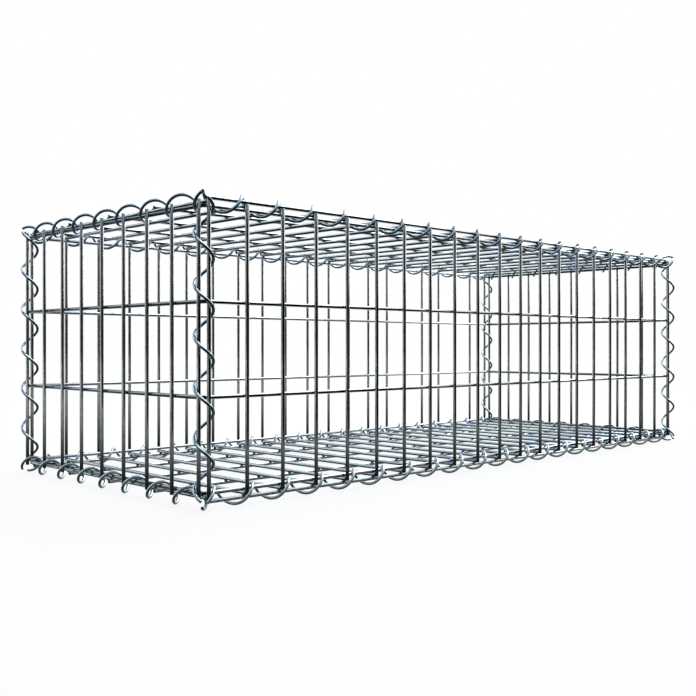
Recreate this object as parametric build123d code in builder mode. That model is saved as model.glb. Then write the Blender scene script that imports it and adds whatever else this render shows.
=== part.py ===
from build123d import *
from math import cos, hypot, radians, sqrt
import os

# Gabion basket: six panels of welded wire mesh, tied along all twelve edges with
# spiral wires that are screwed on from the corners.
# X runs along the length, Y across the width and Z up. The front wall is the one at -Y.
# The origin is on the ground, under the middle of the basket.

# The basket, in millimetres
basket_length = 1000.0      # between the first and the last upright of the front wall
basket_width = 400.0        # between the first and the last upright of an end wall
basket_height = 300.0       # between the lowest and the highest rail
upright_spacing = 50.0      # from wire to wire, uprights and cross wires
rail_spacing = 100.0        # from wire to wire, rails and long wires

# The mesh wire
wire_diameter = 4.5         # across the flats of its section
wire_sides = 8              # sides of a wire's section
cross_sides = 6             # the same, for the lid's and the base's cross wires
wall_step = 1.1             # front and back rails stand this far outside the last end upright
upright_overhang = 6.5      # how far an upright runs past the highest and the lowest rail
panel_gap = 0.2             # between the walls' outer rails and the lid or base
end_gap = 0.25              # between a cut wire end and the wire that it points at

# The spiral wires
spiral_wire = 3.5           # diameter of the round wire
spiral_side = 2.6           # side of the square bar that stands for it
spiral_clearance = 0.6      # between a spiral and the outer one of the wires inside it
spiral_lead = 10.0          # the turns divide the edge and this much past each corner
turn_steps = 8              # straight steps in each turn
corner_overrun = 7.0        # how far an upright spiral runs past the last rail
long_overrun = 7.0          # how far a front or back spiral runs past the last upright
end_overrun = 10.0          # how far an end wall's spiral runs past the last upright
end_spiral_lift = 0.85      # an end wall's spirals lie this much further up or down
end_spiral_step = 0.3       # and this much further out than the others

# Mesh cells and bays along each edge. A spiral makes one turn to each cell.
cells_per_bay = round(rail_spacing / upright_spacing)
width_bays = round(basket_width / rail_spacing)
height_bays = round(basket_height / rail_spacing)
length_cells = round(basket_length / upright_spacing)
width_cells = width_bays * cells_per_bay
height_cells = height_bays * cells_per_bay

# Layers of wire, measured outwards from the middle of the basket
wire_radius = wire_diameter / 2
side_rail_y = basket_width / 2 + wall_step
side_upright_y = side_rail_y + wire_diameter
end_rail_x = basket_length / 2 + wire_diameter
end_upright_x = end_rail_x + wire_diameter
cross_wire_z = basket_height / 2 + wire_diameter + panel_gap
long_wire_z = cross_wire_z + wire_diameter

# Half lengths of the wires
upright_half = basket_height / 2 + upright_overhang
side_rail_half = end_rail_x - wire_radius - end_gap
end_rail_half = basket_width / 2 + wire_radius
long_wire_half = basket_length / 2
cross_wire_half = side_upright_y - wire_radius - end_gap

# Spiral axes run through the middle of the layers of wire at each edge, and a spiral
# goes round the outermost wire there
axis_x = (basket_length / 2 + end_upright_x) / 2
axis_y = (basket_width / 2 + side_upright_y) / 2
axis_z = (basket_height / 2 + long_wire_z) / 2
end_axis_x = axis_x + end_spiral_step
end_axis_z = axis_z + end_spiral_lift
corner_reach = hypot(end_upright_x - axis_x, side_upright_y - axis_y)
edge_reach = hypot(axis_y - basket_width / 2, long_wire_z - axis_z)
spiral_radius = max(corner_reach, edge_reach) + wire_radius + spiral_wire / 2 + spiral_clearance
vertex_radius = 2 * spiral_radius / (1 + cos(radians(180 / turn_steps)))

# The basket stands on the end walls' bottom spirals, where a corner of the bar is lowest
middle_z = end_axis_z + vertex_radius + spiral_side / sqrt(2)

# Planes through the middle of the basket, square to the wires that are drawn on them.
# On the two upright planes, the second direction is up.
upright_plane = Plane(origin=(0, 0, middle_z), x_dir=(1, 0, 0), z_dir=(0, 0, 1))
along_x_plane = Plane(origin=(0, 0, middle_z), x_dir=(0, 1, 0), z_dir=(1, 0, 0))
along_y_plane = Plane(origin=(0, 0, middle_z), x_dir=(-1, 0, 0), z_dir=(0, 1, 0))


def even_places(span, spaces):
    # The places of wires that divide a span evenly, with its middle at 0
    return [span * (i / spaces - 0.5) for i in range(spaces + 1)]


def flat_turn(sides):
    # Turns a wire's section so that one of its flats faces the plane's second direction,
    # and welded wires meet face to face
    return 90 - 180 / sides


def spiral_points(plane, place, edge_length, cells, overrun, start_angle):
    # The corners of a left-handed spiral in straight steps, along a line square to the
    # plane. The start angle is where the spiral points at the start of its lead.
    pitch = (edge_length + 2 * spiral_lead) / cells
    run_length = edge_length + 2 * overrun
    points = []
    for along in even_places(run_length, round(run_length / pitch * turn_steps)):
        turned = start_angle - 360 * (along + edge_length / 2 + spiral_lead) / pitch
        corner = Vector(vertex_radius, 0, along).rotate(Axis.Z, turned)
        points.append(plane.from_local_coords(corner + Vector(*place)))
    return points


# The wires of each panel: the plane that they are square to, their places on it, half
# their length and the sides of their section
side_upright_xs = even_places(basket_length, length_cells)
end_upright_ys = even_places(basket_width, width_cells)
rail_zs = even_places(basket_height, height_bays)
long_wire_ys = even_places(basket_width, width_bays)
wire_rows = {}
for wall, side in (("front_wall", -1), ("back_wall", 1)):
    upright_places = [(x, side * side_upright_y) for x in side_upright_xs]
    rail_places = [(side * side_rail_y, z) for z in rail_zs]
    wire_rows[f"{wall}_uprights"] = (upright_plane, upright_places, upright_half, wire_sides)
    wire_rows[f"{wall}_rails"] = (along_x_plane, rail_places, side_rail_half, wire_sides)
for wall, side in (("left_end", -1), ("right_end", 1)):
    upright_places = [(side * end_upright_x, y) for y in end_upright_ys]
    rail_places = [(-side * end_rail_x, z) for z in rail_zs]
    wire_rows[f"{wall}_uprights"] = (upright_plane, upright_places, upright_half, wire_sides)
    wire_rows[f"{wall}_rails"] = (along_y_plane, rail_places, end_rail_half, wire_sides)
for panel, side in (("lid", 1), ("base", -1)):
    long_places = [(y, side * long_wire_z) for y in long_wire_ys]
    cross_places = [(x, side * cross_wire_z) for x in side_upright_xs]
    wire_rows[f"{panel}_long_wires"] = (along_x_plane, long_places, long_wire_half, wire_sides)
    wire_rows[f"{panel}_cross_wires"] = (along_y_plane, cross_places, cross_wire_half, cross_sides)

# The spirals of each edge: the place of its axis on the plane, and its start angle.
# Angles count from the plane's first direction towards its second.
corner_spirals = {
    "front_left_corner_spiral": ((-axis_x, -axis_y), 241),
    "front_right_corner_spiral": ((axis_x, -axis_y), 310),
    "back_left_corner_spiral": ((-axis_x, axis_y), 156),
    "back_right_corner_spiral": ((axis_x, axis_y), 61),
}
long_spirals = {
    "lid_front_spiral": ((-axis_y, axis_z), 121),
    "lid_back_spiral": ((axis_y, axis_z), 44),
    "base_front_spiral": ((-axis_y, -axis_z), 224),
    "base_back_spiral": ((axis_y, -axis_z), 300),
}
end_spirals = {
    "lid_left_spiral": ((end_axis_x, end_axis_z), 47),
    "lid_right_spiral": ((-end_axis_x, end_axis_z), 132),
    "base_left_spiral": ((end_axis_x, -end_axis_z), 312),
    "base_right_spiral": ((-end_axis_x, -end_axis_z), 227),
}
spiral_groups = (
    (corner_spirals, upright_plane, basket_height, height_cells, corner_overrun),
    (long_spirals, along_x_plane, basket_length, length_cells, long_overrun),
    (end_spirals, along_y_plane, basket_width, width_cells, end_overrun),
)

os.makedirs("parts", exist_ok=True)

for name, (plane, places, half_length, sides) in wire_rows.items():
    with BuildPart() as wires:
        with BuildSketch(plane.offset(-half_length)):
            with Locations(*places):
                RegularPolygon(wire_radius, sides, major_radius=False, rotation=flat_turn(sides))
        extrude(amount=2 * half_length)
    wires.part.label = name
    export_step(wires.part, f"parts/{name}.step")

for spirals, plane, edge_length, cells, overrun in spiral_groups:
    for name, (place, start_angle) in spirals.items():
        points = spiral_points(plane, place, edge_length, cells, overrun, start_angle)
        with BuildPart() as spiral:
            with BuildLine() as run:
                Polyline(*points)
            with BuildSketch(Plane(origin=run.line @ 0, z_dir=run.line % 0)):
                Rectangle(spiral_side, spiral_side)
            sweep(transition=Transition.RIGHT)
        spiral.part.label = name
        export_step(spiral.part, f"parts/{name}.step")
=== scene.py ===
import bmesh
import bpy
from math import atan2, ceil, cos, hypot, pi, radians, sin
from mathutils import Matrix, Vector


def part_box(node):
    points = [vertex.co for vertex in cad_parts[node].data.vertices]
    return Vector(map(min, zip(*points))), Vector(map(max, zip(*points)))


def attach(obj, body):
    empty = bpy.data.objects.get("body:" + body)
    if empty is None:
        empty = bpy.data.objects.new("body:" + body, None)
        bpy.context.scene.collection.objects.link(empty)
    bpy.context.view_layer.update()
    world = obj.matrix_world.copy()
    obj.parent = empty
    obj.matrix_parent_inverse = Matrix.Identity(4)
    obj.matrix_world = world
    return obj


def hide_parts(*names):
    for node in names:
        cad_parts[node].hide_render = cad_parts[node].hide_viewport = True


# Gabion basket: welded panels of coated steel wire, tied along every edge by spiral wires.
# Everything is in metres, X along the basket, Y across it and Z up.

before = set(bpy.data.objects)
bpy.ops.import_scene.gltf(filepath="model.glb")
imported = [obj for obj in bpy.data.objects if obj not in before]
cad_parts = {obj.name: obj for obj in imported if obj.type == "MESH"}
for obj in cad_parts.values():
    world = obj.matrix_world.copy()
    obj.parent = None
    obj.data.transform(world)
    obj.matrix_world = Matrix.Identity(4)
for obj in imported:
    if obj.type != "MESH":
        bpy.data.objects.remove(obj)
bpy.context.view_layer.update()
mm = 0.001
alongX, alongY, alongZ = range(3)       # axis numbers
print("frame loaded")


# Helpers for materials

def hexColour(code):
    # sRGB hex to the linear colour that the shaders take
    channels = [int(code[i:i + 2], 16) / 255 for i in (1, 3, 5)]
    linear = [c / 12.92 if c <= 0.04045 else ((c + 0.055) / 1.055) ** 2.4 for c in channels]
    return (*linear, 1.0)


def addNode(tree, kind, values=None, links=None, **settings):
    # One node with its settings, its plain values and what feeds it
    node = tree.nodes.new(kind)
    for name, value in settings.items():
        setattr(node, name, value)
    for name, value in (values or {}).items():
        node.inputs[name].default_value = value
    for name, source in (links or {}).items():
        tree.links.new(source, node.inputs[name])
    return node


def newMaterial(name):
    material = bpy.data.materials.new(name)
    material.use_nodes = True
    material.node_tree.nodes.clear()
    return material, material.node_tree


# Coated wire

zincLook = {
    "roughnessLow": 0.06,
    "roughnessHigh": 0.15,
    "drawLine": 0.35 * mm,          # spacing of the fine lines that the drawing die leaves
    "drawLineRun": 30 * mm,         # how far such a line runs along the wire
    "drawLineDepth": 0.02 * mm,
    "drawLineShow": 0.1,            # how strongly the lines show
    "lump": 1.8 * mm,               # thick and thin places of the dipped coating
    "lumpDepth": 0.1 * mm,
    "lumpShow": 0.3,
    "lumpStart": 0.3,               # noise value up to which the coating is brightest
    "lumpEnd": 0.7,                 # and from which it is dullest
    "mottle": 6.0 * mm,             # patches of brighter and duller coating
    "mottleStart": 0.35,            # noise value at which a darker patch ends
    "mottleEnd": 0.65,              # and at which a brighter one starts
    "paintedBottomStart": -0.9,             # a normal's Z up to which the painted band along the very bottom of the wire is full
    "paintedBottomEnd": -0.6,               # and from which the painted underside shade is full
    "paintedUnderStart": -0.2,             # where the painted underside shade starts to fade into the side
    "paintedUnderEnd": -0.02,              # where the side starts
    "paintedTopStart": 0.03,               # where the painted highlight on the top starts
    "paintedTopEnd": 0.35,                 # and where it is full
}
# The wires run along X, Y, Z or the path of a spiral. Their looks are lit and shaded copies of one coating,
# set lighter or darker and tinted for each direction and for the end and back rails, as painted light: the
# painted highlight on the top, blue-tinted as a painted reflection on the cross wires and spirals, the
# sides rubbed and greyed in patches, the painted shade under the wire, and a painted band along the very
# bottom, light on some and dark on others.
paintedWireLooks = {
    "coatedWireX": {"along": alongX, "top": "#e4e9ea", "sides": ("#7f8483", "#a3a8a7"),
                    "under": "#0f1111", "drain": "#ccd1d1"},
    "coatedWireY": {"along": alongY, "top": "#ccdfe3", "sides": ("#6c8085", "#8ca1a7"),
                    "under": "#0b0f10", "drain": "#22282a"},
    "coatedWireZ": {"along": alongZ, "top": "#d8dcda", "sides": ("#929895", "#b3b9b6"),
                    "under": "#1a1e1c", "drain": "#878c8a"},
    # The end rails are a darker copy of the coating: painted shade
    "coatedEndRails": {"along": alongY, "top": "#9ca7a9", "sides": ("#2b3234", "#444d4f"),
                       "under": "#0b0f10", "drain": "#22282a"},
    # The back rails are a lighter copy of the coating: painted light
    "coatedBackRailsPaintedLight": {"along": alongX, "top": "#dde6ee", "sides": ("#a3abb6", "#bcc4cd"),
                        "under": "#50565e", "drain": "#c4c9cd"},
    "coatedSpiralWire": {"along": "path", "top": "#cce1e8", "sides": ("#617880", "#879ea6"),
                         "under": "#222b2e", "drain": "#363d40"},
}


def coatedWire(name, wireLook):
    # Hot-dipped zinc-aluminium on drawn steel wire: a bright metal with soft lumps from the dip, faint
    # drawing lines along the wire, and colour painted by which way a face points: a painted highlight on
    # top, painted shade underneath
    material, tree = newMaterial(name)
    place = addNode(tree, "ShaderNodeTexCoord")
    if wireLook["along"] == "path":
        wirePlace = addNode(tree, "ShaderNodeAttribute", attribute_name="wirePlace").outputs["Vector"]
        lengthwise = alongZ
    else:
        wirePlace = place.outputs["Object"]
        lengthwise = wireLook["along"]
    stretch = [1, 1, 1]
    stretch[lengthwise] = zincLook["drawLine"] / zincLook["drawLineRun"]
    stretched = addNode(tree, "ShaderNodeMapping", {"Scale": stretch}, {"Vector": wirePlace})
    drawLines = addNode(tree, "ShaderNodeTexNoise", {"Scale": 1 / zincLook["drawLine"], "Detail": 2.0},
                        {"Vector": stretched.outputs["Vector"]})
    lumps = addNode(tree, "ShaderNodeTexNoise",
                    {"Scale": 1 / zincLook["lump"], "Detail": 3.0, "Roughness": 0.6},
                    {"Vector": place.outputs["Object"]})
    mottle = addNode(tree, "ShaderNodeTexNoise",
                     {"Scale": 1 / zincLook["mottle"], "Detail": 4.0, "Roughness": 0.65},
                     {"Vector": place.outputs["Object"]})

    # How far a face is out of the painted bottom band, out of the painted underside shade, and into the
    # painted top highlight
    facing = addNode(tree, "ShaderNodeSeparateXYZ", links={"Vector": place.outputs["Normal"]})
    shares = []
    for start, end in (("paintedBottomStart", "paintedBottomEnd"), ("paintedUnderStart", "paintedUnderEnd"), ("paintedTopStart", "paintedTopEnd")):
        share = addNode(tree, "ShaderNodeMapRange",
                        {"From Min": zincLook[start], "From Max": zincLook[end]},
                        {"Value": facing.outputs["Z"]}, interpolation_type="SMOOTHSTEP")
        shares.append(share.outputs["Result"])
    paintedUnderShare, sideShare, paintedTopShare = shares

    # Colour from the underside up, with painted shade below and a painted highlight on top
    patch = addNode(tree, "ShaderNodeMapRange",
                    {"From Min": zincLook["mottleStart"], "From Max": zincLook["mottleEnd"]},
                    {"Value": mottle.outputs["Fac"]})
    darkSide, paleSide = wireLook["sides"]
    side = addNode(tree, "ShaderNodeMix", {"A": hexColour(darkSide), "B": hexColour(paleSide)},
                   {"Factor": patch.outputs["Result"]}, data_type="RGBA")
    under = addNode(tree, "ShaderNodeMix", {"A": hexColour(wireLook["drain"]), "B": hexColour(wireLook["under"])},
                    {"Factor": paintedUnderShare}, data_type="RGBA")
    lower = addNode(tree, "ShaderNodeMix",
                    links={"Factor": sideShare, "A": under.outputs["Result"], "B": side.outputs["Result"]},
                    data_type="RGBA")
    colour = addNode(tree, "ShaderNodeMix", {"B": hexColour(wireLook["top"])},
                     {"Factor": paintedTopShare, "A": lower.outputs["Result"]}, data_type="RGBA")

    rough = addNode(tree, "ShaderNodeMapRange",
                    {"From Min": zincLook["lumpStart"], "From Max": zincLook["lumpEnd"],
                     "To Min": zincLook["roughnessLow"], "To Max": zincLook["roughnessHigh"]},
                    {"Value": lumps.outputs["Fac"]})
    lineBump = addNode(tree, "ShaderNodeBump",
                       {"Strength": zincLook["drawLineShow"], "Distance": zincLook["drawLineDepth"]},
                       {"Height": drawLines.outputs["Fac"]})
    lumpBump = addNode(tree, "ShaderNodeBump",
                       {"Strength": zincLook["lumpShow"], "Distance": zincLook["lumpDepth"]},
                       {"Height": lumps.outputs["Fac"], "Normal": lineBump.outputs["Normal"]})
    shader = addNode(tree, "ShaderNodeBsdfPrincipled", {"Metallic": 1.0},
                     {"Base Color": colour.outputs["Result"], "Roughness": rough.outputs["Result"],
                      "Normal": lumpBump.outputs["Normal"]})
    addNode(tree, "ShaderNodeOutputMaterial", links={"Surface": shader.outputs["BSDF"]})
    return material


# Cut ends and welds

cutLook = {
    "steelColour": "#1b1d1e",       # bare steel where the wire was sheared
    "rimColour": "#585e62",         # coating smeared over the cut
    "tear": 0.5 * mm,               # grain of the torn half of the cut
    "tearDepth": 0.15 * mm,
    "tearShow": 0.6,                # how strongly the grain shows
    "smearStart": 0.5,              # noise value at which smeared coating starts
    "smearEnd": 0.75,               # and at which it covers the steel
    "metallic": 0.8,
    "roughness": 0.55,
}


def cutSteel():
    # Sheared end of a drawn steel wire: bare, dark and rough, with some coating smeared over it
    material, tree = newMaterial("cutSteel")
    place = addNode(tree, "ShaderNodeTexCoord")
    tear = addNode(tree, "ShaderNodeTexNoise",
                   {"Scale": 1 / cutLook["tear"], "Detail": 4.0, "Roughness": 0.7},
                   {"Vector": place.outputs["Object"]})
    smear = addNode(tree, "ShaderNodeMapRange",
                    {"From Min": cutLook["smearStart"], "From Max": cutLook["smearEnd"]},
                    {"Value": tear.outputs["Fac"]})
    colour = addNode(tree, "ShaderNodeMix",
                     {"A": hexColour(cutLook["steelColour"]), "B": hexColour(cutLook["rimColour"])},
                     {"Factor": smear.outputs["Result"]}, data_type="RGBA")
    bump = addNode(tree, "ShaderNodeBump",
                   {"Strength": cutLook["tearShow"], "Distance": cutLook["tearDepth"]},
                   {"Height": tear.outputs["Fac"]})
    shader = addNode(tree, "ShaderNodeBsdfPrincipled",
                     {"Metallic": cutLook["metallic"], "Roughness": cutLook["roughness"]},
                     {"Base Color": colour.outputs["Result"], "Normal": bump.outputs["Normal"]})
    addNode(tree, "ShaderNodeOutputMaterial", links={"Surface": shader.outputs["BSDF"]})
    return material


weldLook = {
    "beadColour": "#7d858b",        # coating that melted and ran back over the weld
    "burntColour": "#3d4145",       # scale at the bead's edge
    "spatter": 0.8 * mm,            # size of its lumps and pits
    "spatterDepth": 0.2 * mm,
    "spatterShow": 0.6,             # how strongly they show
    "roughness": 0.5,
}


def weldBead():
    # Resistance weld under a melted coating: matt, uneven and darker than the wire
    material, tree = newMaterial("weldBead")
    place = addNode(tree, "ShaderNodeTexCoord")
    spatter = addNode(tree, "ShaderNodeTexNoise",
                      {"Scale": 1 / weldLook["spatter"], "Detail": 4.0, "Roughness": 0.65},
                      {"Vector": place.outputs["Object"]})
    colour = addNode(tree, "ShaderNodeMix",
                     {"A": hexColour(weldLook["burntColour"]), "B": hexColour(weldLook["beadColour"])},
                     {"Factor": spatter.outputs["Fac"]}, data_type="RGBA")
    bump = addNode(tree, "ShaderNodeBump",
                   {"Strength": weldLook["spatterShow"], "Distance": weldLook["spatterDepth"]},
                   {"Height": spatter.outputs["Fac"]})
    shader = addNode(tree, "ShaderNodeBsdfPrincipled",
                     {"Metallic": 1.0, "Roughness": weldLook["roughness"]},
                     {"Base Color": colour.outputs["Result"], "Normal": bump.outputs["Normal"]})
    addNode(tree, "ShaderNodeOutputMaterial", links={"Surface": shader.outputs["BSDF"]})
    return material


coatings = {name: coatedWire(name, wireLook) for name, wireLook in paintedWireLooks.items()}
cutEnd = cutSteel()
bead = weldBead()
cutSlot, beadSlot = 1, 2            # places of these two on a piece, after its coating
print("materials made")


# Straight wires

meshWire = {
    "radius": 2.25 * mm,
    "sides": 20,
    "endRound": 0.45 * mm,          # the shears leave the rim of a cut slightly rounded
    "beadRadius": 2.35 * mm,
    "beadHeight": 1.15 * mm,
    "beadSides": 8,
    "beadRings": 5,
}
rimSteps = 2                        # steps of the rounding of every wire's rim
runTurn = {                         # turns a wire that stands along Z to the way it runs
    alongX: Matrix.Rotation(pi / 2, 4, "Y"),
    alongY: Matrix.Rotation(-pi / 2, 4, "X"),
    alongZ: Matrix.Identity(4),
}


def thirdAxis(first, second):
    return alongX + alongY + alongZ - first - second


def middleOf(node, axis):
    low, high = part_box(node)
    return (low[axis] + high[axis]) / 2


def spread(node, axis, count):
    # Places of a node's wires along an axis, the first and last one wire radius inside its box
    low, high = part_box(node)
    first = low[axis] + meshWire["radius"]
    last = high[axis] - meshWire["radius"]
    return [first + (last - first) * i / (count - 1) for i in range(count)]


def meshOf(bm, name):
    mesh = bpy.data.meshes.new(name)
    bm.to_mesh(mesh)
    bm.free()
    return mesh


def stamp(bm, pattern, spots):
    # Adds a pattern at each spot, and then does away with it
    for spot in spots:
        pattern.transform(Matrix.Translation(spot))
        bm.from_mesh(pattern)
        pattern.transform(Matrix.Translation(-spot))
    bpy.data.meshes.remove(pattern)


def cutEnds(bm, ends, rounding):
    # Bares the steel at the ends of a wire and rounds their rims
    for face in ends:
        face.material_index = cutSlot
    bmesh.ops.bevel(bm, geom=list({e for f in ends for e in f.edges}), offset=rounding,
                    affect="EDGES", segments=rimSteps, profile=0.5, material=-1)


def straightWire(run, length):
    bm = bmesh.new()
    bmesh.ops.create_cone(bm, cap_ends=True, segments=meshWire["sides"], radius1=meshWire["radius"],
                          radius2=meshWire["radius"], depth=length, matrix=runTurn[run])
    ends = [face for face in bm.faces if len(face.verts) == meshWire["sides"]]
    cutEnds(bm, ends, meshWire["endRound"])
    return meshOf(bm, "straightWire")


def weldedSpot(normalAxis):
    # The flattened bead of a spot weld, between two wires that cross
    size = [meshWire["beadRadius"]] * 3
    size[normalAxis] = meshWire["beadHeight"]
    bm = bmesh.new()
    bmesh.ops.create_uvsphere(bm, u_segments=meshWire["beadSides"], v_segments=meshWire["beadRings"],
                              radius=1.0, matrix=Matrix.Diagonal((*size, 1)))
    for face in bm.faces:
        face.material_index = beadSlot
    return meshOf(bm, "weldedSpot")


def pieceNameOf(node):
    first, *rest = node.split("_")
    return first + "".join(word.capitalize() for word in rest)


def finishPiece(bm, node, materials):
    # Makes the mesh an object that stands for its node
    bmesh.ops.recalc_face_normals(bm, faces=bm.faces)
    for face in bm.faces:
        face.smooth = True
    pieceName = pieceNameOf(node)
    piece = bpy.data.objects.new(pieceName, meshOf(bm, pieceName))
    for material in materials:
        piece.data.materials.append(material)
    bpy.context.scene.collection.objects.link(piece)
    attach(piece, "root")
    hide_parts(node)


def wireRow(node, run, across, places, lookName, crossings=()):
    # All the wires of one direction of a panel. Crossings are the spots where they are welded.
    low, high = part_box(node)
    middles = []
    for place in places:
        middle = (low + high) / 2
        middle[across] = place
        middles.append(middle)
    bm = bmesh.new()
    stamp(bm, straightWire(run, high[run] - low[run]), middles)
    stamp(bm, weldedSpot(thirdAxis(run, across)), crossings)
    finishPiece(bm, node, [coatings[lookName], cutEnd, bead])


def weldSpots(outer, inner, outerRun, innerRun, outerPlaces, innerPlaces):
    # Where the wires of two nodes cross, half way between the middles of their layers
    layer = thirdAxis(outerRun, innerRun)
    height = (middleOf(outer, layer) + middleOf(inner, layer)) / 2
    spots = []
    for across in outerPlaces:
        for along in innerPlaces:
            spot = Vector((0, 0, 0))
            spot[layer] = height
            spot[innerRun] = across
            spot[outerRun] = along
            spots.append(spot)
    return spots


basket = {
    "uprightsLong": 21,             # wires along the front and the back
    "uprightsWide": 9,              # and along each end
    "rails": 4,
    "longWires": 5,
    "cellsPerBay": 2,               # turns of a corner spiral from rail to rail
}
uprightX = spread("front_wall_uprights", alongX, basket["uprightsLong"])
uprightY = spread("left_end_uprights", alongY, basket["uprightsWide"])
railZ = spread("front_wall_rails", alongZ, basket["rails"])
longWireY = spread("lid_long_wires", alongY, basket["longWires"])

for wall, railLook in (("front", "coatedWireX"), ("back", "coatedBackRailsPaintedLight")):
    uprights, rails = f"{wall}_wall_uprights", f"{wall}_wall_rails"
    welds = weldSpots(uprights, rails, alongZ, alongX, uprightX, railZ)
    wireRow(uprights, alongZ, alongX, uprightX, "coatedWireZ", welds)
    wireRow(rails, alongX, alongZ, railZ, railLook)
for end in ("left", "right"):
    uprights, rails = f"{end}_end_uprights", f"{end}_end_rails"
    welds = weldSpots(uprights, rails, alongZ, alongY, uprightY, railZ)
    wireRow(uprights, alongZ, alongY, uprightY, "coatedWireZ", welds)
    wireRow(rails, alongY, alongZ, railZ, "coatedEndRails")
for panel in ("lid", "base"):
    crossWires, longWires = f"{panel}_cross_wires", f"{panel}_long_wires"
    welds = weldSpots(crossWires, longWires, alongY, alongX, uprightX, longWireY)
    wireRow(crossWires, alongY, alongX, uprightX, "coatedWireY", welds)
    wireRow(longWires, alongX, alongY, longWireY, "coatedWireX")
print("mesh panels made")


# Spiral wires

spiralWire = {
    "radius": 1.75 * mm,            # of the wire itself
    "turnRadius": 9.98 * mm,        # from the spiral's axis to the middle of its wire
    "lead": 10 * mm,                # the turns divide the edge and this much past each corner
    "sides": 14,
    "stepsPerTurn": 36,
    "leastShare": 0.001,            # a shorter rest of a turn is left off
    "joinWithin": 0.005 * mm,       # the turns are joined where their rings meet
    "endRound": 0.35 * mm,
    "cornerOverrun": 7 * mm,        # how far an upright spiral runs past the last rail
    "longOverrun": 7 * mm,          # how far a front or back spiral runs past the last upright
    "endOverrun": 10 * mm,          # how far an end wall's spiral runs past the last upright
    "outStep": 0.3 * mm,            # how much further out the end walls' spirals lie, along X
    "outLift": 0.85 * mm,           # and along Z
}


def oneTurn(firstAngle, share, pitch):
    # A whole turn or a share of one, left-handed round Z from height 0 up
    steps = ceil(share * spiralWire["stepsPerTurn"])
    turnLength = 2 * pi * spiralWire["turnRadius"]
    # The first ring stands square to the wire
    outward = Matrix.Translation((spiralWire["turnRadius"], 0, 0))
    upright = Matrix.Rotation(pi / 2 - atan2(pitch, turnLength), 4, "X")
    bm = bmesh.new()
    place = bm.verts.layers.float_vector.new("wirePlace")
    bmesh.ops.create_circle(bm, cap_ends=False, segments=spiralWire["sides"], radius=spiralWire["radius"],
                            matrix=Matrix.Rotation(firstAngle, 4, "Z") @ outward @ upright)
    bmesh.ops.spin(bm, geom=bm.verts[:] + bm.edges[:], cent=(0, 0, 0), axis=(0, 0, 1),
                   dvec=(0, 0, pitch * share / steps), angle=-2 * pi * share, steps=steps,
                   use_merge=False, use_normal_flip=False, use_duplicate=False)
    # Each point's place on a straight wire along Z, which the drawing lines follow
    wireStep = hypot(turnLength, pitch) * share / steps
    for number, vert in enumerate(bm.verts):
        step, side = divmod(number, spiralWire["sides"])
        around = 2 * pi * side / spiralWire["sides"]
        vert[place] = (spiralWire["radius"] * cos(around), spiralWire["radius"] * sin(around),
                       wireStep * step)
    return meshOf(bm, "oneTurn")


def spiral(node, axes, axisMiddle, edgeLength, turns, overrun, startAngle):
    # A spiral wire, turn on turn. The axes are where its angle counts from, where it counts towards,
    # and the way that it runs.
    pitch = (edgeLength + 2 * spiralWire["lead"]) / turns
    runLength = edgeLength + 2 * overrun
    wholeTurns, rest = divmod(runLength / pitch, 1)
    firstAngle = radians(startAngle) + 2 * pi * (overrun - spiralWire["lead"]) / pitch
    wireTurn = hypot(2 * pi * spiralWire["turnRadius"], pitch)
    shares = [1] * int(wholeTurns) + [rest] * (rest > spiralWire["leastShare"])
    bm = bmesh.new()
    place = bm.verts.layers.float_vector.new("wirePlace")
    for number, share in enumerate(shares):
        before = len(bm.verts)
        stamp(bm, oneTurn(firstAngle, share, pitch), [Vector((0, 0, pitch * number))])
        bm.verts.ensure_lookup_table()
        for vert in bm.verts[before:]:
            vert[place] += Vector((0, 0, wireTurn * number))
    bmesh.ops.remove_doubles(bm, verts=bm.verts, dist=spiralWire["joinWithin"])
    ends = bmesh.ops.holes_fill(bm, edges=[e for e in bm.edges if e.is_boundary], sides=0)["faces"]
    cutEnds(bm, ends, spiralWire["endRound"])
    turned = Matrix([Vector(axis) for axis in axes]).transposed().to_4x4()
    start = axisMiddle - Vector(axes[2]) * runLength / 2
    bmesh.ops.transform(bm, matrix=Matrix.Translation(start) @ turned, verts=bm.verts)
    finishPiece(bm, node, [coatings["coatedSpiralWire"], cutEnd])


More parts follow.
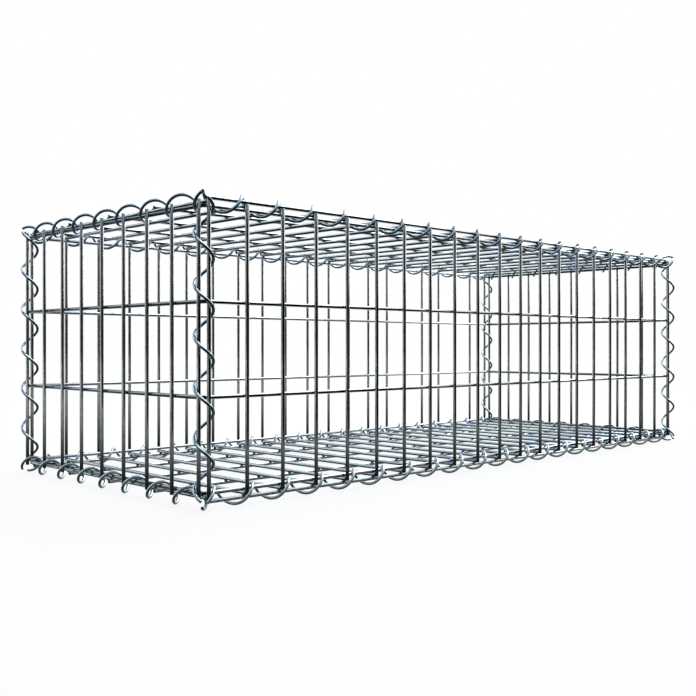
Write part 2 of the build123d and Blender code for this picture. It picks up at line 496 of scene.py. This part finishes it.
# The spirals' axes run through the middle of the layers of wire at each edge
halfLength = uprightX[-1]
halfWidth = uprightY[-1]
middleZ = (railZ[0] + railZ[-1]) / 2
halfHeight = railZ[-1] - middleZ
axisX = (halfLength + middleOf("right_end_uprights", alongX)) / 2
axisY = (halfWidth + middleOf("back_wall_uprights", alongY)) / 2
axisZ = (halfHeight + middleOf("lid_long_wires", alongZ) - middleZ) / 2
spiralSets = (
    {
        # Side along X, side along Y, and start angle from +X towards +Y
        "spirals": {
            "front_left_corner_spiral": (-1, -1, 241),
            "front_right_corner_spiral": (1, -1, 310),
            "back_left_corner_spiral": (-1, 1, 156),
            "back_right_corner_spiral": (1, 1, 61),
        },
        "axes": ((1, 0, 0), (0, 1, 0), (0, 0, 1)),
        "reach": (Vector((axisX, 0, 0)), Vector((0, axisY, 0))),
        "edgeLength": 2 * halfHeight,
        "turns": (basket["rails"] - 1) * basket["cellsPerBay"],
        "overrun": spiralWire["cornerOverrun"],
    },
    {
        # Side along Y, side along Z, and start angle from +Y towards +Z
        "spirals": {
            "lid_front_spiral": (-1, 1, 121),
            "lid_back_spiral": (1, 1, 44),
            "base_front_spiral": (-1, -1, 224),
            "base_back_spiral": (1, -1, 300),
        },
        "axes": ((0, 1, 0), (0, 0, 1), (1, 0, 0)),
        "reach": (Vector((0, axisY, 0)), Vector((0, 0, axisZ))),
        "edgeLength": 2 * halfLength,
        "turns": basket["uprightsLong"] - 1,
        "overrun": spiralWire["longOverrun"],
    },
    {
        # Side along X, side along Z, and start angle from -X towards +Z
        "spirals": {
            "lid_left_spiral": (-1, 1, 47),
            "lid_right_spiral": (1, 1, 132),
            "base_left_spiral": (-1, -1, 312),
            "base_right_spiral": (1, -1, 227),
        },
        "axes": ((-1, 0, 0), (0, 0, 1), (0, 1, 0)),
        "reach": (Vector((axisX + spiralWire["outStep"], 0, 0)),
                  Vector((0, 0, axisZ + spiralWire["outLift"]))),
        "edgeLength": 2 * halfWidth,
        "turns": basket["uprightsWide"] - 1,
        "overrun": spiralWire["endOverrun"],
    },
)
for spiralSet in spiralSets:
    firstReach, secondReach = spiralSet["reach"]
    for node, (firstSide, secondSide, startAngle) in spiralSet["spirals"].items():
        axisMiddle = Vector((0, 0, middleZ)) + firstSide * firstReach + secondSide * secondReach
        spiral(node, spiralSet["axes"], axisMiddle, spiralSet["edgeLength"], spiralSet["turns"],
               spiralSet["overrun"], startAngle)
print("spiral wires made")


# Floor

floorLook = {
    "size": 60.0,
    "colour": "#f2f3f4",
    "shadowShare": 0.12,            # how much of the floor's own shading shows near the basket
    "shadowNear": 0.9,              # how far out that share starts to fade
    "shadowFar": 2.2,               # and how far out it is gone
}


def seenRays(tree):
    # 1 where the camera, a glossy surface or glass sees it, and 0 where it only gives light
    path = addNode(tree, "ShaderNodeLightPath")
    cameraOrGloss = addNode(tree, "ShaderNodeMath",
                            links={0: path.outputs["Is Camera Ray"], 1: path.outputs["Is Glossy Ray"]},
                            operation="MAXIMUM")
    seen = addNode(tree, "ShaderNodeMath",
                   links={0: cameraOrGloss.outputs["Value"], 1: path.outputs["Is Transmission Ray"]},
                   operation="MAXIMUM")
    return seen.outputs["Value"]


def paleFloor():
    # Matt white sweep. Seen directly or in the metal it is white, and near the basket it keeps the shadow.
    material, tree = newMaterial("paleFloor")
    place = addNode(tree, "ShaderNodeTexCoord")
    distance = addNode(tree, "ShaderNodeVectorMath", links={0: place.outputs["Object"]}, operation="LENGTH")
    whiteShare = addNode(tree, "ShaderNodeMapRange",
                         {"From Min": floorLook["shadowNear"], "From Max": floorLook["shadowFar"],
                          "To Min": 1 - floorLook["shadowShare"], "To Max": 1.0},
                         {"Value": distance.outputs["Value"]}, interpolation_type="SMOOTHSTEP")
    share = addNode(tree, "ShaderNodeMath", links={0: whiteShare.outputs["Result"], 1: seenRays(tree)},
                    operation="MULTIPLY")
    matt = addNode(tree, "ShaderNodeBsdfDiffuse", {"Color": hexColour(floorLook["colour"])})
    white = addNode(tree, "ShaderNodeEmission", {"Color": (1, 1, 1, 1), "Strength": 1.0})
    mixed = addNode(tree, "ShaderNodeMixShader",
                    links={"Fac": share.outputs["Value"], 1: matt.outputs["BSDF"],
                           2: white.outputs["Emission"]})
    addNode(tree, "ShaderNodeOutputMaterial", links={"Surface": mixed.outputs["Shader"]})
    return material


def stageObject(name, bm, material, onlyInMetal=False):
    # What stands only in the metal's reflections neither shows, lights nor shades anything else
    thing = bpy.data.objects.new(name, meshOf(bm, name))
    thing.data.materials.append(material)
    bpy.context.scene.collection.objects.link(thing)
    if onlyInMetal:
        thing.visible_camera = False
        thing.visible_shadow = False
        thing.visible_diffuse = False


floorMesh = bmesh.new()
bmesh.ops.create_grid(floorMesh, x_segments=1, y_segments=1, size=floorLook["size"] / 2)
stageObject("floor", floorMesh, paleFloor())
print("floor made")


# Papers round the basket, which show only in the metal. Bearings are degrees from +X towards +Y.

papers = {
    "blue": "#2967b3",
    "grey": "#b4bebf",
    "cardRadius": 5.0,
    "stripRadius": 4.8,
    "sweepSteps": 24,
    "stripStep": 2,                 # degrees from point to point up a strip
    # Bearings of the graded paper, and how bright it is there
    "tones": ((95, 1.0), (130, 0.98), (150, 0.72), (170, 0.42), (190, 0.3), (205, 0.15), (217, 0.09),
              (228, 0.03), (240, 0.0), (325, 0.0), (342, 0.02), (352, 0.5), (360, 1.0)),
    # The same paper on the floor, on the photographer's side of the basket
    "floorHeight": 2 * mm,
    "floorCorners": ((-0.62, -0.36), (-0.62, -0.25), (-5, -2.1), (-5, -5), (5, -5), (5, -1.9),
                     (0.6, -0.36)),
}


def gradedPaper():
    # Paper that goes from white to black and back round the basket, which gives bright wire its dark sides
    material, tree = newMaterial("gradedPaper")
    place = addNode(tree, "ShaderNodeTexCoord")
    # A radial gradient runs from 0 to 1 counter-clockwise, and starts at -X
    bearing = addNode(tree, "ShaderNodeTexGradient", links={"Vector": place.outputs["Object"]},
                      gradient_type="RADIAL")
    ramp = addNode(tree, "ShaderNodeValToRGB", links={"Fac": bearing.outputs["Fac"]})
    # The ramp's own two stops stay, black just past -X and white just before it
    stops = ramp.color_ramp.elements
    for degrees, tone in papers["tones"]:
        stop = stops.new(((degrees - 180) / 360) % 1)
        stop.color = (tone, tone, tone, 1)
    glow = addNode(tree, "ShaderNodeEmission", {"Strength": 1.0}, {"Color": ramp.outputs["Color"]})
    addNode(tree, "ShaderNodeOutputMaterial", links={"Surface": glow.outputs["Emission"]})
    return material


def plainPaper(name, colour):
    # Evenly lit coloured paper, which tints the wires that it shows in
    material, tree = newMaterial(name)
    glow = addNode(tree, "ShaderNodeEmission", {"Color": hexColour(colour), "Strength": 1.0})
    addNode(tree, "ShaderNodeOutputMaterial", links={"Surface": glow.outputs["Emission"]})
    return material


def sweepPaper(name, profile, turn, material):
    # Sweeps a line of points round Z, by a turn in degrees
    bm = bmesh.new()
    points = [bm.verts.new(point) for point in profile]
    edges = [bm.edges.new(pair) for pair in zip(points, points[1:])]
    bmesh.ops.spin(bm, geom=points + edges, cent=(0, 0, 0), axis=(0, 0, 1), dvec=(0, 0, 0),
                   angle=radians(turn), steps=papers["sweepSteps"], use_merge=False,
                   use_normal_flip=False, use_duplicate=False)
    stageObject(name, bm, material, onlyInMetal=True)


def wayTo(bearing):
    return Vector((cos(radians(bearing)), sin(radians(bearing)), 0))


graded = gradedPaper()
curvedCards = {                     # first and last bearing, and height
    "tallCard": (95, 310, 3.3),
    "lowCard": (310, 360, 1.2),
}
for name, (first, last, top) in curvedCards.items():
    foot = papers["cardRadius"] * wayTo(first)
    sweepPaper(name, (foot, foot + Vector((0, 0, top))), last - first, graded)

floorPaper = bmesh.new()
corners = [floorPaper.verts.new((x, y, papers["floorHeight"])) for x, y in papers["floorCorners"]]
floorPaper.faces.new(corners)
stageObject("floorPaper", floorPaper, graded, onlyInMetal=True)

# Plain papers behind, over, left and in front of the basket. Mostly only the spirals are turned to them.
bluePaper = plainPaper("bluePaper", papers["blue"])
greyPaper = plainPaper("greyPaper", papers["grey"])
paperStrips = {                     # paper, first and last bearing, lowest and highest elevation
    "blueBehind": (bluePaper, 60, 94, 14, 44),
    "blueOver": (bluePaper, 30, 150, 55, 84),
    "blueLeft": (bluePaper, 157, 186, 22, 84),
    "greyFront": (greyPaper, 188, 275, 30, 84),
}
for name, (paper, first, last, lowest, highest) in paperStrips.items():
    profile = []
    for rise in range(lowest, highest + 1, papers["stripStep"]):
        way = wayTo(first) * cos(radians(rise)) + Vector((0, 0, sin(radians(rise))))
        profile.append(papers["stripRadius"] * way)
    sweepPaper(name, profile, last - first, paper)
print("papers made")


# Lamps and world

lamps = {                           # place, width, depth, watts, colour, and whether the metal shows it
    "overhead": ((1.2, 0.1, 2.8), 2.0, 2.0, 46, "#f4f8ff", True),
    "rightStrip": ((2.4, -0.05, 0.95), 2.0, 0.8, 14, "#ffffff", True),
    "backSoft": ((-0.1, 2.3, 1.8), 2.4, 1.0, 12, "#ffffff", False),     # the metal shows blue paper there
    "backRim": ((2.2, 1.8, 1.5), 1.6, 0.9, 8, "#f0f5ff", True),
}
lampAim = Vector((0, 0, 0.15))
for name, (spot, width, depth, watts, colour, inMetal) in lamps.items():
    light = bpy.data.lights.new(name, "AREA")
    light.shape = "RECTANGLE"
    light.size = width
    light.size_y = depth
    light.energy = watts
    light.color = hexColour(colour)[:3]
    lamp = bpy.data.objects.new(name, light)
    lamp.location = spot
    lamp.rotation_euler = (lampAim - Vector(spot)).to_track_quat("-Z", "Y").to_euler()
    lamp.visible_glossy = inMetal
    bpy.context.scene.collection.objects.link(lamp)

room = {                            # even light from all round
    "colour": "#e9eef4",
    "strength": 0.75,
}
world = bpy.data.worlds.new("paleStudio")
bpy.context.scene.world = world
world.use_nodes = True
sky = world.node_tree
sky.nodes.clear()
roomLight = addNode(sky, "ShaderNodeBackground",
                    {"Color": hexColour(room["colour"]), "Strength": room["strength"]})
backdrop = addNode(sky, "ShaderNodeBackground", {"Color": (1, 1, 1, 1), "Strength": 1.0})
both = addNode(sky, "ShaderNodeMixShader",
               links={"Fac": seenRays(sky), 1: roomLight.outputs["Background"],
                      2: backdrop.outputs["Background"]})
addNode(sky, "ShaderNodeOutputWorld", links={"Surface": both.outputs["Shader"]})
print("lamps and world made")


# Camera

photoView = {
    "place": (-1058.4 * mm, -991.8 * mm),
    "rise": 3.0 * mm,               # above the middle of the basket
    "heading": 0.768,               # radians from +Y towards +X
    "focal": 917.5,                 # pixels
    "imageSize": 696,               # pixels
    "horizonLift": 1.4,             # pixels that the horizon lies above the middle of the frame
    "sensor": 36.0,                 # millimetres
    "farthest": 200.0,              # metres that the camera sees
}
cameraData = bpy.data.cameras.new("photoCamera")
cameraData.sensor_width = photoView["sensor"]
cameraData.lens = photoView["focal"] * photoView["sensor"] / photoView["imageSize"]
cameraData.shift_y = -photoView["horizonLift"] / photoView["imageSize"]
cameraData.clip_end = photoView["farthest"]
camera = bpy.data.objects.new("photoCamera", cameraData)
camera.location = (*photoView["place"], middleZ + photoView["rise"])
camera.rotation_euler = (pi / 2, 0, -photoView["heading"])
bpy.context.scene.collection.objects.link(camera)
bpy.context.scene.camera = camera
bpy.context.scene.view_settings.view_transform = "Standard"
print("camera made")
